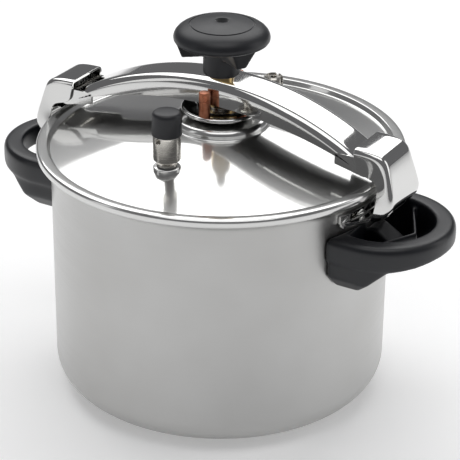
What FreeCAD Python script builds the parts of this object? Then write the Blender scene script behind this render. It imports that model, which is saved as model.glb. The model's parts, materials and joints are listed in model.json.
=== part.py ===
"""A stove-top pressure canner: pot, clamped lid, arched yoke with two hooked claws, screw knob.

Millimetres.  +X runs along the yoke and the two side handles, +Z is up, and the origin is the
middle of the underside.  Sizes that can be set live in the spreadsheet Dims, and every sub-part
reads them from there.
"""
import os
import re

import FreeCAD
import Part
import Sketcher
from FreeCAD import Rotation, Vector

doc = FreeCAD.newDocument("PressureCanner")

# ---------------------------------------------------------------- driving dimensions
SIZES = {
    # pot
    "body_radius": 120, "wall": 1.0, "corner_radius": 20,
    "cap_sheet": 0.8, "core_thickness": 3.2,
    "lip_start": 171, "lip_flare": 8, "lip_flat": 1,
    # lid
    "sheet": 1.0, "rim_overhang": 1.0, "channel_height": 4.0, "channel_width": 7.2, "rim_drop": 3.5,
    "boss_margin": 5.5, "cone_rise": 17, "boss_height": 6, "seal_gap": 0.1,
    # clamp seat on the lid
    "saucer_radius": 28, "saucer_height": 7, "recess_radius": 16.5, "recess_depth": 5,
    "retainer_sheet": 1.6, "pin_radius": 4, "pin_height": 17.5, "pin_inset": 5,
    # screw and knob
    "thread_radius": 6, "fit": 0.05, "gap": 0.3, "nut_radius": 11, "nut_height": 13,
    "knob_radius": 33.5, "knob_height": 38.7, "knob_rim": 12, "stem_radius": 13, "fin_radius": 29,
    "fin_width": 12, "fin_drop": 14, "insert_radius": 9, "insert_height": 19, "dimple_radius": 4.5,
    "groove_radius": 22.5, "knob_screw_radius": 2.5,
    # yoke
    "ear_reach": 8, "arch_end": 5.5, "flange_rise": 11, "arch_clear": 6, "arch_depth": 17.5,
    "arch_width": 34, "arch_sheet": 2, "arch_round": 6.5, "hub_radius": 8,
    "pivot_inset": 9, "pivot_rise": 12.9, "pivot_radius": 2.5, "ear_radius": 6.5,
    # claws
    "claw_sheet": 1.7, "claw_gap": 0.6, "claw_flare": 3.5, "claw_top": 13, "claw_foot": 35.4,
    "toe_sheet": 3, "toe_span": 40, "toe_past": 5, "hook_height": 4.7, "hook_sheet": 2.2,
    "pot_clear": 1.4,
    # handles
    "grip_radius": 50, "grip_set": 8, "grip_below": 14, "grip_band": 17, "band_step": 1.6,
    "grip_wall": 14, "skirt_drop": 38, "block_depth": 11, "floor": 4, "handle_screw_radius": 2.5,
    "rib_width": 18, "stud_radius": 5,
    # regulating valve
    "valve_offset": 72, "pad_radius": 9.5, "pad_rise": 2, "pad_sink": 2.8, "nozzle_radius": 3.5,
    "seat_flange": 7, "seat_sheet": 1.5, "valve_radius": 9.5, "valve_length": 23, "valve_neck": 2,
    "cap_radius": 10.2, "cap_height": 17, "port_radius": 2.3,
    # safety valve
    "safety_offset": 75, "safety_radius": 7, "safety_height": 15, "safety_bore": 4.5,
    "seal_sheet": 1, "plunger_radius": 1.8, "spring_wire": 0.8, "spring_turns": 6,
}
sheet = doc.addObject("Spreadsheet::Sheet", "Dims")
for row, (word, size) in enumerate(SIZES.items(), start=1):
    sheet.set(f"A{row}", word)
    sheet.set(f"B{row}", str(size))
    sheet.setAlias(f"B{row}", word)

# levels worked out from the driving sizes, kept in the same sheet
LEVELS = {
    "floor_level": "cap_sheet + core_thickness",
    "core_radius": "body_radius - corner_radius + 1",
    "lip_radius": "body_radius + lip_flare + lip_flat",
    "lip_level": "lip_start + lip_flare + wall",
    "rim_radius": "lip_radius + rim_overhang",
    "rim_level": "lip_level + seal_gap + channel_height + sheet",
    "gutter_radius": "rim_radius - sheet - channel_width - sheet",
    "cone_foot": "rim_level - rim_drop",
    "boss_level": "cone_foot + cone_rise + boss_height",
    "saucer_level": "boss_level + saucer_height",
    "recess_level": "saucer_level - recess_depth",
    "arch_under": "saucer_level + arch_clear",
    "arch_level": "arch_under + arch_depth",
    "boss_radius": "saucer_radius + boss_margin",
    "pin_offset": "saucer_radius - pin_inset",
    "pivot_reach": "lip_radius - pivot_inset",
    "pivot_height": "rim_level + pivot_rise",
    "arch_span": "pivot_reach - ear_reach",
    "arch_drop": "arch_level - pivot_height - arch_end",
    "arch_radius": "(arch_span * arch_span + arch_drop * arch_drop) / (2 * arch_drop)",
    "knob_foot": "arch_level + gap",
    "knob_level": "knob_foot + knob_height",
    "cone_slope": "cone_rise / (gutter_radius - boss_radius)",
    "valve_level": "cone_foot + cone_slope * (gutter_radius - valve_offset) + pad_rise",
    "safety_level": "cone_foot + cone_slope * (gutter_radius - safety_offset) + pad_rise",
    "claw_half": "arch_width / 2 + claw_gap + claw_sheet",
    "hook_inner": "body_radius + pot_clear",
    "toe_level": "pivot_height - claw_foot",
    "toe_reach": "lip_radius + toe_past",
    "grip_centre": "body_radius + grip_set",
    "grip_reach": "grip_centre + grip_radius",
    "grip_top": "lip_start - grip_below",
    "hole_radius": "grip_radius - grip_wall",
    "skirt_level": "grip_top - skirt_drop",
    "screw_level": "grip_top - skirt_drop / 2 - 3",
}
NAMES = set(SIZES) | set(LEVELS)


def cells(formula):
    """Turn the sheet's words in a formula into references to its cells."""
    return re.sub(r"[a-z_]+", lambda found: "Dims." + found.group() if found.group() in NAMES
                  else found.group(), str(formula))


for row, (word, formula) in enumerate(LEVELS.items(), start=len(SIZES) + 2):
    sheet.set(f"A{row}", word)
    sheet.set(f"B{row}", "=" + re.sub(r"Dims\.", "", cells(formula)))
    sheet.setAlias(f"B{row}", word)
doc.recompute()


def value(formula):
    """The number that a formula gives at the sheet's present sizes."""
    result = sheet.evalExpression(cells(formula))
    return float(getattr(result, "Value", result))


# ---------------------------------------------------------------- helpers
def bind(thing, **formulas):
    """Bind properties of a document object to the sheet; double underscores stand for dots."""
    for path, formula in formulas.items():
        thing.setExpression(path.replace("__", "."), cells(formula))
    return thing


def new_body(name):
    body = doc.addObject("PartDesign::Body", name)
    body.Label = name
    return body


def origin_part(body, role):
    return next(item for item in body.Origin.OriginFeatures if item.Role == role)


def outline(body, name, plane, points):
    """A closed, fully constrained sketch.

    Each point is (across, up), or (across, up, radius) when the stretch that arrives at it is an
    arc: a positive radius turns left on the way, a negative one turns right.
    """
    sketch = body.newObject("Sketcher::SketchObject", name)
    sketch.AttachmentSupport = [(origin_part(body, plane), "")]
    sketch.MapMode = "FlatFace"
    places = [Vector(value(point[0]), value(point[1]), 0) for point in points]
    ends = []
    for number, point in enumerate(points):
        start, end = places[number - 1], places[number]
        if len(point) == 2:
            ends.append((sketch.addGeometry(Part.LineSegment(start, end)), 1, 2))
            continue
        radius = value(point[2])
        chord = end - start
        height = (radius * radius - chord.Length * chord.Length / 4) ** 0.5
        left = Vector(-chord.y, chord.x, 0).normalize()
        turn = 1 if radius > 0 else -1
        centre = (start + end) * 0.5 + left * (turn * height)
        middle = centre - left * (turn * abs(radius))
        arc = sketch.addGeometry(Part.Arc(start, middle, end))
        ends.append((arc, 1, 2) if radius > 0 else (arc, 2, 1))
        sketch.addConstraint(Sketcher.Constraint("Radius", arc, abs(radius)))
        sketch.setExpression(f"Constraints[{sketch.ConstraintCount - 1}]",
                             cells(f"abs({point[2]})"))
    for number, (curve, first, last) in enumerate(ends):
        before, _, joined = ends[number - 1]
        sketch.addConstraint(Sketcher.Constraint("Coincident", before, joined, curve, first))
    for (curve, _, last), point, place in zip(ends, points, places):
        for kind, formula, size in (("DistanceX", point[0], place.x), ("DistanceY", point[1], place.y)):
            sketch.addConstraint(Sketcher.Constraint(kind, -1, 1, curve, last, size))
            sketch.setExpression(f"Constraints[{sketch.ConstraintCount - 1}]", cells(formula))
    return sketch


def turned(name, points):
    """A body of revolution about its own Z axis, from (radius, height) points."""
    body = new_body(name)
    profile = outline(body, name + "_profile", "XZ_Plane", points)
    spin = body.newObject("PartDesign::Revolution", name + "_turned")
    spin.Profile = profile
    spin.ReferenceAxis = (origin_part(body, "Z_Axis"), [""])
    spin.Angle = 360
    profile.Visibility = False
    return body


def ring(name, inner, outer, low, high):
    return turned(name, [(inner, low), (outer, low), (outer, high), (inner, high)])


def pad(body, name, plane, points, length):
    """A pad of an outline, the same distance to each side of its plane."""
    profile = outline(body, name + "_outline", plane, points)
    block = body.newObject("PartDesign::Pad", name)
    block.Profile = profile
    block.Midplane = True
    bind(block, Length=length)
    return block


def plate(name, plane, points, length):
    body = new_body(name)
    pad(body, name + "_pad", plane, points, length)
    return body


def cylinder(name, radius, low, high, across="0", along="0"):
    drum = doc.addObject("Part::Cylinder", name)
    bind(drum, Radius=radius, Height=f"({high}) - ({low})", Placement__Base__z=low,
         Placement__Base__x=across, Placement__Base__y=along)
    return drum


def box(name, x_low, x_high, half_width, low, high):
    """A box that is as wide on both sides of the XZ plane."""
    block = doc.addObject("Part::Box", name)
    bind(block, Length=f"({x_high}) - ({x_low})", Width=f"2 * ({half_width})",
         Height=f"({high}) - ({low})", Placement__Base__x=x_low,
         Placement__Base__y=f"-({half_width})", Placement__Base__z=low)
    return block


def cut(name, base, tool):
    result = doc.addObject("Part::Cut", name)
    result.Base, result.Tool = base, tool
    return result


def common(name, base, tool):
    result = doc.addObject("Part::Common", name)
    result.Base, result.Tool = base, tool
    return result


def fused(name, pieces):
    result = doc.addObject("Part::MultiFuse", name)
    result.Shapes = pieces
    result.Refine = True
    return result


def rounded(name, base, radius, wanted):
    """Round the edges of a shape that the test wanted(edge) picks."""
    doc.recompute()
    picked = [n for n, edge in enumerate(base.Shape.Edges, start=1) if wanted(edge)]
    result = doc.addObject("Part::Fillet", name)
    result.Base = base
    result.Edges = [(n, value(radius), value(radius)) for n in picked]
    return result


def body_rounded(body, base, radius, wanted):
    """Round the edges of a body's last feature that the test wanted(edge) picks."""
    doc.recompute()
    names = [f"Edge{n}" for n, edge in enumerate(base.Shape.Edges, start=1) if wanted(edge)]
    fillet = body.newObject("PartDesign::Fillet", base.Name + "_round")
    fillet.Base = (base, names)
    bind(fillet, Radius=radius)
    return fillet


NODES = {}


def keep(node, thing, turn=0):
    """Name a finished sub-part; turn swings it about the pot's axis, in degrees."""
    thing.Label = node
    if turn:
        thing.Placement = FreeCAD.Placement(Vector(0, 0, 0), Rotation(Vector(0, 0, 1), turn))
    NODES[node] = thing
    return thing


def keep_pair(node, thing):
    """The right-hand piece and its twin on the left, half a turn round."""
    keep(node + "_right", thing)
    twin = doc.addObject("Part::Compound", node + "_twin")
    twin.Links = [thing]
    keep(node + "_left", twin, turn=180)


def set_along(thing, formula):
    return bind(thing, Placement__Base__y=formula)


# ---------------------------------------------------------------- pot
def make_pot():
    inner = "body_radius - wall"
    keep("pot_body", turned("pot_shell", [
        ("0", "floor_level"),
        ("body_radius - corner_radius", "floor_level"),
        ("body_radius", "floor_level + corner_radius", "corner_radius"),
        ("body_radius", "lip_start"),
        ("body_radius + lip_flare", "lip_start + lip_flare", "-lip_flare"),
        ("lip_radius", "lip_start + lip_flare"),
        ("lip_radius", "lip_level"),
        ("body_radius + lip_flare", "lip_level"),
        (inner, "lip_start", "lip_flare + wall"),
        (inner, "floor_level + corner_radius"),
        ("body_radius - corner_radius", "floor_level + wall", "wall - corner_radius"),
        ("0", "floor_level + wall"),
    ]))
    keep("base_core_disc", turned("core", [
        ("0", "cap_sheet"), ("core_radius - 2.2", "cap_sheet"), ("core_radius", "3", "2.2"),
        ("core_radius", "floor_level"), ("0", "floor_level")]))
    edge = "core_radius + cap_sheet"
    keep("base_cap", turned("cap_plate", [
        ("0", "0"), (f"{edge} - 3", "0"), (edge, "3", "3"),
        (edge, "floor_level"), ("core_radius", "floor_level"), ("core_radius", "3"),
        ("core_radius - 2.2", "cap_sheet", "-2.2"),
        ("0", "cap_sheet"),
    ]))


# ---------------------------------------------------------------- side handles
def d_plan(name, radius, low, high, back):
    """A block with a D-shaped plan: straight sides from the pot, and a round nose."""
    nose = cylinder(name + "_nose", radius, low, high, across="grip_centre")
    return fused(name, [nose, box(name + "_sides", back, "grip_centre", radius, low, high)])


def make_handle():
    back = "body_radius - 30"
    band = d_plan("grip_band_block", "grip_radius", "grip_top - grip_band", "grip_top", back)
    band = rounded("grip_band_round", band, "5",
                   lambda edge: edge.BoundBox.ZMin > value("grip_top") - 0.01
                   and edge.BoundBox.XMax > value(back) + 1)
    skirt = d_plan("grip_skirt_block", "grip_radius - band_step", "skirt_level",
                   "grip_top - grip_band + 1", back)
    heel = "body_radius + block_depth"
    side = plate("grip_side", "XZ_Plane", [
        (back, "skirt_level"), (heel, "skirt_level"), ("grip_centre + 24", "grip_top - 19"),
        ("grip_centre + 40", "grip_top - 16"), ("grip_reach + 2", "grip_top - 13"),
        ("grip_reach + 2", "grip_top"), (back, "grip_top")], "3 * grip_radius")
    half = "grip_radius + 5"
    front = plate("grip_front", "YZ_Plane", [
        (half, "grip_top + 1"), (f"-({half})", "grip_top + 1"), (f"-({half})", "grip_top - 20"),
        ("10 - grip_radius", "skirt_level - 1"), ("grip_radius - 10", "skirt_level - 1"),
        (half, "grip_top - 20")], "4 * grip_reach")
    skirt = common("grip_skirt_side", common("grip_skirt_front", skirt, front), side)
    outer = common("grip_outside", fused("grip_solid", [band, skirt]), side_copy(side))
    # the hollow inside the loop: shut by a sloping floor near the pot, open through at the nose
    well = d_plan("grip_well", "hole_radius", "skirt_level - 5", "grip_top + 5",
                  "body_radius + block_depth / 2")
    depth = plate("grip_depth", "XZ_Plane", [
        ("body_radius", "skirt_level + floor"), (heel, "skirt_level + floor"),
        ("grip_centre + 26", "grip_top - 14"), ("grip_centre + 28", "skirt_level - 2"),
        ("grip_reach", "skirt_level - 2"), ("grip_reach", "grip_top + 2"),
        ("body_radius", "grip_top + 2")], "2 * hole_radius + 20")
    hollow = common("grip_hollow", well, depth)
    # the thick rib in the middle of the hollow carries the fixing screw
    rib = plate("grip_rib", "XZ_Plane", [
        ("body_radius - 2", "skirt_level"), (heel, "skirt_level"),
        ("grip_centre + 22", "grip_top - 20"), ("body_radius + 7", "grip_top - 6"),
        ("body_radius - 2", "grip_top - 6")], "rib_width")
    # a thin chevron web stiffens the loop from side wall to side wall
    tip = "grip_reach - 24"
    start = "grip_reach - 44"
    half = "hole_radius + 3"
    chevron = new_body("grip_chevron")
    web = pad(chevron, "grip_web", "XY_Plane", [
        (start, half), (f"{start} - 3", half), (f"{tip} - 3", "0"), (f"{start} - 3", f"-({half})"),
        (start, f"-({half})"), (tip, "0")], "2 * grip_top - 10")
    chevron = common("grip_chevron_cut", chevron, side_copy(side))
    shape = fused("grip_ribbed", [cut("grip_shell", outer, hollow), rib, chevron])
    pot = cylinder("grip_pot_cut", "body_radius + gap", "0", "lip_level")
    shape = cut("grip_back", shape, pot)
    channel = fused("grip_screw_ways", [
        level_rod("grip_stud_way", "stud_radius + fit", "body_radius - 5", "body_radius + 8"),
        level_rod("grip_screw_way", "handle_screw_radius + fit", "body_radius + 1", "grip_centre + 10"),
        level_rod("grip_head_way", "2 * handle_screw_radius + 0.5", heel, "grip_centre + 30")])
    return cut("grip", shape, channel)


def side_copy(body):
    """A second use of a body's shape, so that it can serve as the tool of two booleans."""
    twin = doc.addObject("Part::Compound", body.Name + "_again")
    twin.Links = [body]
    return twin


def level_rod(name, radius, x_low, x_high):
    """A rod along X at the height of the handle's screw."""
    rod = doc.addObject("Part::Cylinder", name)
    rod.Placement = FreeCAD.Placement(Vector(0, 0, 0), Rotation(Vector(0, 1, 0), 90))
    return bind(rod, Radius=radius, Height=f"({x_high}) - ({x_low})",
                Placement__Base__x=x_low, Placement__Base__z="screw_level")


def make_handles():
    keep_pair("handle", make_handle())
    stud = cut("stud_blank", level_rod("stud_rod", "stud_radius", "body_radius - 5", "body_radius + 7.5"),
               cylinder("stud_pot_cut", "body_radius", "0", "lip_level"))
    keep_pair("handle_stud", cut("stud_bored", stud, level_rod(
        "stud_bore", "handle_screw_radius + fit", "body_radius + 1", "body_radius + 9")))
    heel = "body_radius + block_depth"
    keep_pair("handle_screw", fused("grip_screw", [
        level_rod("screw_shank", "handle_screw_radius", "body_radius + 1.5", heel),
        level_rod("screw_head", "2 * handle_screw_radius", heel, f"{heel} + 3")]))


# ---------------------------------------------------------------- lid
def lid_pad(name, offset, level):
    return cylinder(name, "pad_radius", f"{level} - pad_rise - pad_sink", level, along=offset)


def make_lid():
    under = "boss_radius - sheet"
    shell = turned("lid_sheet", [
        ("0", "boss_level"), ("0", "boss_level - sheet"), (f"{under} - 3", "boss_level - sheet"),
        (under, "boss_level - sheet - 3", "-3"), (under, "boss_level - boss_height - sheet"),
        ("gutter_radius + sheet / 2", "cone_foot - sheet"),
        ("gutter_radius + 2 * sheet", "rim_level - sheet"), ("rim_radius - sheet", "rim_level - sheet"),
        ("rim_radius - sheet", "lip_level + 0.4"), ("rim_radius", "lip_level + 0.4"),
        ("rim_radius", "rim_level - 1.2"), ("rim_radius - 1.2", "rim_level", "1.2"),
        ("gutter_radius + sheet", "rim_level"), ("gutter_radius", "cone_foot"),
        ("boss_radius", "boss_level - boss_height"), ("boss_radius", "boss_level - 4"),
        ("boss_radius - 4", "boss_level", "4"),
    ])
    solid = fused("lid_blank", [shell, lid_pad("valve_pad", "-valve_offset", "valve_level"),
                                lid_pad("safety_pad", "safety_offset", "safety_level")])
    holes = fused("lid_holes", [
        cylinder("valve_hole", "nozzle_radius + fit", "cone_foot - 9", "boss_level",
                 along="-valve_offset"),
        cylinder("safety_hole", "safety_bore + fit", "cone_foot - 9", "boss_level",
                 along="safety_offset")])
    keep("lid", cut("lid_bored", solid, holes))
    keep("lid_gasket", ring("seal_ring", "gutter_radius + 2 * sheet + 0.3", "rim_radius - sheet - 0.1",
                            "lip_level + seal_gap / 2", "rim_level - sheet - 0.05"))


def make_clamp_seat():
    keep("pressure_saucer", turned("saucer", [
        ("0", "recess_level"), ("0", "boss_level"), ("saucer_radius - 11", "boss_level"),
        ("saucer_radius", "saucer_level - 2.4"), ("saucer_radius - 1.2", "saucer_level", "1.5"),
        ("recess_radius", "saucer_level"), ("recess_radius", "recess_level")]))
    keep("thrust_washer", ring("washer", "thread_radius", "recess_radius - 1", "recess_level",
                               "recess_level + seal_sheet"))
    keep("spindle_retainer", ring("retainer", "thread_radius + 4.5", "recess_radius - fit",
                                  "saucer_level - retainer_sheet - 0.2", "saucer_level - 0.2"))
    for side, sign in (("front", "-"), ("back", "")):
        pin = turned("pin_" + side, [
            ("0", "saucer_level"), ("pin_radius", "saucer_level"),
            ("pin_radius", "saucer_level + pin_height - 0.8"),
            ("pin_radius - 0.8", "saucer_level + pin_height"), ("0", "saucer_level + pin_height")])
        keep("guide_pin_" + side, set_along(pin, sign + "pin_offset"))


# ---------------------------------------------------------------- screw, nut and knob
def make_screw():
    foot = "recess_level + seal_sheet + 0.1"
    top = "knob_foot + insert_height"
    keep("clamp_spindle", turned("spindle", [
        ("0", foot), ("recess_radius - 1.5", foot), ("recess_radius - 1.5", f"{foot} + 1.6"),
        ("thread_radius + 4", f"{foot} + 1.6"), ("thread_radius + 4", "saucer_level + 1"),
        ("thread_radius", "saucer_level + 1.5"), ("thread_radius", top),
        ("knob_screw_radius + fit", top), ("knob_screw_radius + fit", f"{top} - 10"),
        ("0", f"{top} - 10")]))
    hub = "hub_radius - fit"
    shoulder = "arch_level - arch_sheet - 0.4"
    bore = "thread_radius + fit"
    keep("yoke_nut", turned("nut", [
        (bore, f"{shoulder} - nut_height"), ("nut_radius", f"{shoulder} - nut_height"),
        ("nut_radius", shoulder), (hub, shoulder), (hub, "arch_level"), (bore, "arch_level")]))


def make_knob():
    bore, top = "insert_radius", "knob_foot + insert_height"
    seat = f"{top} + 6"
    disc = turned("knob_disc", [
        (bore, "knob_foot"), ("stem_radius", "knob_foot"),
        ("stem_radius", "knob_level - knob_rim - 2"),
        ("knob_radius - 6", "knob_level - knob_rim"),
        ("knob_radius", "knob_level - knob_rim + 4.5", "6.5"),
        ("knob_radius - 6.5", "knob_level - 1.2", "7"),
        ("dimple_radius", "knob_level", "6 * knob_radius"),
        ("dimple_radius", seat), ("knob_screw_radius + fit", seat), ("knob_screw_radius + fit", top),
        (bore, top)])
    fin = new_body("knob_fin")
    pad(fin, "knob_fin_pad", "XZ_Plane", [
        ("stem_radius - 2", "knob_level - knob_rim + 2"),
        ("stem_radius - 2", "knob_level - knob_rim - fin_drop"),
        ("stem_radius + 9", "knob_level - knob_rim - fin_drop + 5", "2 * stem_radius"),
        ("fin_radius - 3", "knob_level - knob_rim - fin_drop + 1.5"),
        ("fin_radius", "knob_level - knob_rim - fin_drop + 1.5"),
        ("knob_radius - 1.5", "knob_level - knob_rim + 4")], "fin_width")
    fins = []
    for angle in (90, 210, 330):
        arm = doc.addObject("Part::Compound", f"knob_arm_{angle}")
        arm.Links = [fin]
        arm.Placement = FreeCAD.Placement(Vector(0, 0, 0), Rotation(Vector(0, 0, 1), angle))
        fins.append(arm)
    groove = ring("knob_groove", "groove_radius - 0.4", "groove_radius + 0.4",
                  "knob_level - 2", "knob_level + 1")
    keep("knob", cut("knob_grooved", fused("knob_solid", [disc] + fins), groove))
    keep("knob_insert", ring("insert", "thread_radius", bore, "knob_foot", top))
    keep("knob_screw", turned("top_screw", [
        ("0", f"{top} - 9"), ("knob_screw_radius", f"{top} - 9"), ("knob_screw_radius", seat),
        ("dimple_radius - 0.3", seat), ("dimple_radius - 0.3", f"{seat} + 3"), ("0", f"{seat} + 3")]))


# ---------------------------------------------------------------- yoke
def make_arch():
    end = "arch_level - arch_drop"
    low_drop = "(arch_drop - flange_rise)"
    low_radius = f"(arch_span * arch_span + {low_drop}^2) / (2 * {low_drop})"
    low_end = f"arch_under - {low_drop}"
    body = new_body("arch")
    block = pad(body, "arch_block", "XZ_Plane", [
        ("-arch_span", low_end), ("arch_span", low_end, f"-({low_radius})"),
        ("arch_span", end), ("-arch_span", end, "arch_radius")], "arch_width")
    side = value("arch_width / 2")
    body_rounded(body, block, "arch_round", lambda edge: isinstance(edge.Curve, Part.Circle)
                 and abs(abs(edge.BoundBox.YMin) - side) < 0.01
                 and edge.BoundBox.ZMax > value("arch_level") - 0.01)
    under = new_body("arch_void")
    pad(under, "arch_void_block", "XZ_Plane", [
        ("-arch_span - 5", "arch_under - 60"), ("arch_span + 5", "arch_under - 60"),
        ("arch_span + 5", f"arch_level - arch_radius + {VOID_END}"),
        ("-arch_span - 5", f"arch_level - arch_radius + {VOID_END}", "arch_radius - arch_sheet")],
        "arch_width - 2 * arch_sheet")
    shell = cut("arch_shell", body, under)
    ears = []
    for side_name, sign in (("right", ""), ("left", "-")):
        ear = cross_rod("ear_" + side_name, "ear_radius", "arch_width / 2", sign + "pivot_reach")
        ears.append(ear)
        arm = doc.addObject("Part::Box", "ear_arm_" + side_name)
        start = "arch_span - 14" if sign == "" else "-pivot_reach"
        bind(arm, Length="pivot_reach - arch_span + 14", Width="arch_width", Height="8",
             Placement__Base__x=start, Placement__Base__y="-arch_width / 2",
             Placement__Base__z="pivot_height - 4.5")
        ears.append(arm)
    ears = cut("ears_open", fused("ears_solid", ears),
               box("ears_void", "-pivot_reach - 20", "pivot_reach + 20",
                   "arch_width / 2 - arch_sheet", "0", "arch_level"))
    holes = [cylinder("hub_hole", "hub_radius", "arch_under", "arch_level + 5")]
    for side_name, sign in (("right", ""), ("left", "-")):
        holes.append(cross_rod("pivot_hole_" + side_name, "pivot_radius", "arch_width / 2 + 5",
                               sign + "pivot_reach"))
    keep("yoke_arch", cut("arch_bored", fused("arch_whole", [shell, ears]),
                          fused("arch_holes", holes)))
    for side_name, sign in (("right", ""), ("left", "-")):
        keep("claw_pin_" + side_name, cross_rod("pivot_" + side_name, "pivot_radius",
                                                "claw_half - 0.3", sign + "pivot_reach"))


def cross_rod(name, radius, half_length, across):
    """A rod along Y at the height of the claws' pivots."""
    rod = doc.addObject("Part::Cylinder", name)
    rod.Placement = FreeCAD.Placement(Vector(0, 0, 0), Rotation(Vector(1, 0, 0), 90))
    return bind(rod, Radius=radius, Height=f"2 * ({half_length})", Placement__Base__x=across,
                Placement__Base__y=half_length, Placement__Base__z="pivot_height")


# height above the arch's centre of curvature at which its inner arc ends
VOID_END = "sqrt((arch_radius - arch_sheet)^2 - (arch_span + 5)^2)"


# ---------------------------------------------------------------- claws
def claw_width(name, inset):
    """The claw seen end on: straight at the top, flaring towards the foot."""
    narrow, wide = f"(claw_half - {inset})", f"(claw_half + claw_flare - {inset})"
    high, bend = "pivot_height + claw_top + 5", "pivot_height + 2"
    low, base = "pivot_height - 25", "pivot_height - claw_foot - 3"
    return plate(name, "YZ_Plane", [
        (narrow, high), (f"-{narrow}", high), (f"-{narrow}", bend), (f"-{wide}", low),
        (f"-{wide}", base), (wide, base), (wide, low), (narrow, bend)], "4 * pivot_reach")


def make_claw():
    face = "pivot_reach"
    level = "pivot_height"
    top = f"{level} + claw_top"
    toe = "toe_level"
    outside = plate("claw_outside", "XZ_Plane", [
        (f"{face} - 7", top), (f"{face} - 7.4", f"{level} + 4"), (f"{face} - 6.5", f"{level} - 1.5"),
        (f"{face} - 3", f"{level} - 4"), (f"{face} + 7", f"{level} - 5.4"),
        (f"{face} + 11.8", f"{level} - 9"), (f"{face} + 11.8", f"{level} - 27"),
        (f"{face} + 8", toe), (f"{face} + 16", toe),
        (f"{face} + 23.5", f"{level} - 26"), (f"{face} + 25", f"{level} - 18"),
        (f"{face} + 18", f"{level} + 10"), (f"{face} + 13", top)], "4 * claw_half")
    skin = "claw_sheet"
    void = plate("claw_inside", "XZ_Plane", [
        (f"{face} - 20", f"{top} - {skin}"), (f"{face} - 20", f"{toe} + toe_sheet"),
        (f"{face} + 15", f"{toe} + toe_sheet"), (f"{face} + 23.5 - {skin}", f"{level} - 25.5"),
        (f"{face} + 25 - {skin}", f"{level} - 18"), (f"{face} + 18 - {skin}", f"{level} + 9.6"),
        (f"{face} + 12.4", f"{top} - {skin}")], "4 * claw_half")
    solid = common("claw_solid", outside, claw_width("claw_ends", "0"))
    hollow = common("claw_hollow", void, claw_width("claw_ends_inside", "claw_sheet"))
    shell = cut("claw_shell", solid, hollow)
    # the toe: a crescent under the pot's lip, with an upturned edge that hooks behind the flare
    across = "((toe_reach)^2 - (hook_inner)^2) / (2 * (toe_reach - toe_foot))"
    across = across.replace("toe_foot", "sqrt(hook_inner^2 - toe_span^2)")
    disc = cylinder("toe_disc", f"toe_reach - ({across})", toe, "toe_level + toe_sheet", across=across)
    hook_top = "toe_level + toe_sheet + hook_height"
    hook = common("hook_strip", cylinder("hook_drum", "hook_inner + hook_sheet", toe, hook_top),
                  box("hook_window", "body_radius / 2", "toe_reach", "toe_span - 5", toe, hook_top))
    toes = cut("toe_piece", fused("toe_solid", [disc, hook]),
               cylinder("toe_pot_cut", "hook_inner", "0", "lip_level"))
    notch = doc.addObject("Part::Box", "claw_notch")
    notch.Placement = FreeCAD.Placement(Vector(0, 0, 0), Rotation(Vector(0, 0, 1), 45))
    bind(notch, Length="4", Width="4", Height="10", Placement__Base__x=f"{face} - 7",
         Placement__Base__y="-2 * sqrt(2)", Placement__Base__z=f"{top} - 5")
    bore = cross_rod("claw_bore", "pivot_radius + fit", "claw_half + 5", face)
    return cut("claw", fused("claw_whole", [shell, toes]), fused("claw_cuts", [notch, bore]))


# ---------------------------------------------------------------- regulating valve
def make_regulator():
    bore = "nozzle_radius - 2"
    keep("valve_seat", set_along(turned("seat", [
        (bore, "valve_level - 14"), ("nozzle_radius", "valve_level - 14"),
        ("nozzle_radius", "valve_level + seal_sheet"), ("seat_flange", "valve_level + seal_sheet"),
        ("seat_flange", "valve_level + seal_sheet + seat_sheet"),
        ("nozzle_radius", "valve_level + seal_sheet + seat_sheet"),
        ("nozzle_radius", "valve_level + 16"), ("nozzle_radius - 1", "valve_level + 17"),
        (bore, "valve_level + 17")]), "-valve_offset"))
    keep("valve_seat_washer", set_along(ring("seat_washer", "nozzle_radius", "seat_flange",
                                             "valve_level", "valve_level + seal_sheet"),
                                        "-valve_offset"))
    keep("valve_seat_nut", hex_nut("seat_nut", "nozzle_radius", "7.5", "-valve_offset",
                                   "valve_level - pad_rise - pad_sink"))
    foot = "valve_level + seal_sheet + seat_sheet + 0.5"
    crown = f"{foot} + valve_neck + valve_length"
    chamber = "valve_level + 18.5"
    loose = "nozzle_radius + 0.3"
    keep("valve_needle", set_along(turned("needle", [
        ("0", "valve_level + 14"), ("1.2", "valve_level + 14"), ("1.2", "valve_level + 17.1"),
        ("2.6", f"{chamber} + 0.3"), ("5", f"{chamber} + 0.3"), ("5", f"{crown} - 1.5"),
        ("0", f"{crown} - 1.5")]), "-valve_offset"))
    steel = set_along(turned("valve_tube", [
        (loose, foot), ("valve_radius - 3", foot), ("valve_radius - 3", f"{foot} + valve_neck"),
        ("valve_radius - 0.6", f"{foot} + valve_neck"), ("valve_radius", f"{foot} + valve_neck + 0.6"),
        ("valve_radius", crown), ("0", crown), ("0", f"{crown} - 1.2"), ("5.3", f"{crown} - 1.2"),
        ("5.3", chamber), (loose, chamber)]), "-valve_offset")
    port = doc.addObject("Part::Cylinder", "valve_port")
    port.Placement = FreeCAD.Placement(Vector(0, 0, 0), Rotation(Vector(0, 0, 1), -8)
                                       * Rotation(Vector(1, 0, 0), 90))
    bind(port, Radius="port_radius", Height="valve_radius + 2", Placement__Base__y="-valve_offset",
         Placement__Base__z=f"{crown} - 7.5")
    keep("valve_body", cut("valve_ported", steel, port))
    top = f"{crown} + cap_height - 5"
    keep("valve_cap", set_along(turned("cap", [
        ("0", crown), ("valve_radius", crown), ("valve_radius", f"{crown} - 5"),
        ("cap_radius", f"{crown} - 5"), ("cap_radius", f"{top} - 3"),
        ("cap_radius - 3", top, "3"), ("0", top)]), "-valve_offset"))


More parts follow.
